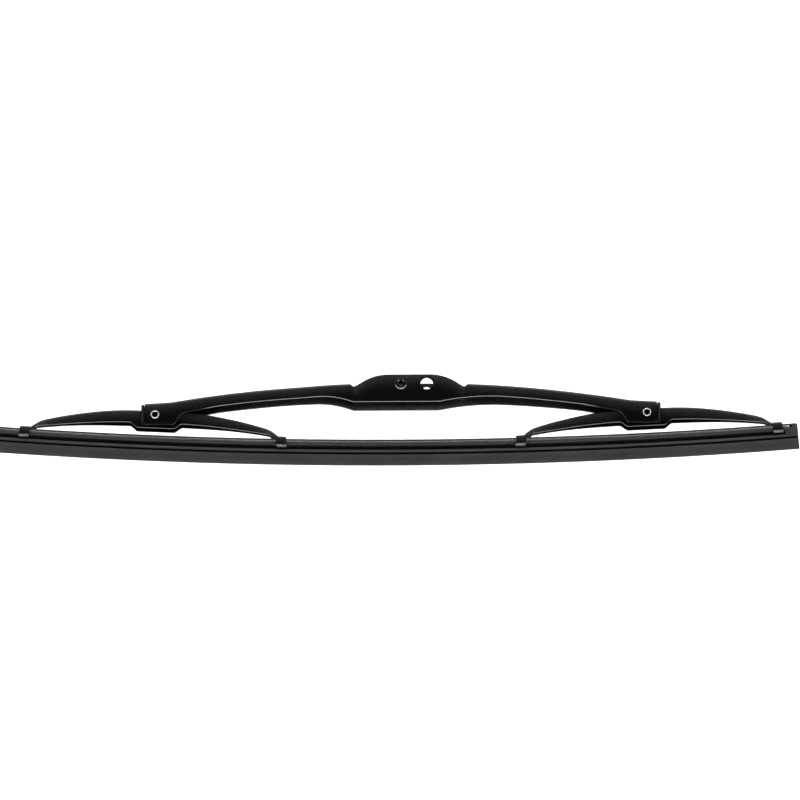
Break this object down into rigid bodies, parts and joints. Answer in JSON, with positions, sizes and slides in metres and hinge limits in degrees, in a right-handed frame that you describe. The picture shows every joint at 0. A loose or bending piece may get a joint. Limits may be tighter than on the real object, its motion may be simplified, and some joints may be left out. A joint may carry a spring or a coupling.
{
  "type": "wiper blade",
  "caption": "Frame-type windscreen wiper blade: an arched pressed-steel bridge with a seat for a hook arm carries rocking yokes whose claws hold a rubber squeegee stiffened by flat rails.",
  "frame": {"origin": "middle of the centre rivet, which the wiper arm's hook takes hold of", "axes": "+X along the blade, towards the closed end of the rubber; +Y along the rivets; +Z away from the glass"},
  "size_m": [0.4079, 0.0156, 0.0459],
  "materials": {
    "black_paint": "satin",
    "bare_steel": "satin",
    "black_plastic": "matte",
    "rubber": "matte",
    "rail_steel": "satin"
  },
  "bodies": {
    "bridge_body": {"bridge": "black_paint", "centre_rivet": "black_paint", "left_pivot_rivet": "bare_steel", "right_pivot_rivet": "bare_steel", "left_bushing": "black_plastic", "right_bushing": "black_plastic", "squeegee": "rubber", "front_rail": "rail_steel", "rear_rail": "rail_steel"},
    "left_yoke_body": {"left_yoke": "black_paint"},
    "right_yoke_body": {"right_yoke": "black_paint"}
  },
  "joints": [
    {"name": "left_yoke_pivot", "type": "hinge", "parent": "bridge_body", "child": "left_yoke_body", "pos_m": [-0.123, 0, -0.0155], "axis": [0, -1, 0], "range_deg": [-4, 8], "stiffness_Nm_per_rad": 0.4, "deforming": ["squeegee", "front_rail", "rear_rail"]},
    {"name": "right_yoke_pivot", "type": "hinge", "parent": "bridge_body", "child": "right_yoke_body", "pos_m": [0.123, 0, -0.0155], "axis": [0, 1, 0], "range_deg": [-4, 8], "stiffness_Nm_per_rad": 0.4, "deforming": ["squeegee", "front_rail", "rear_rail"]}
  ]
}
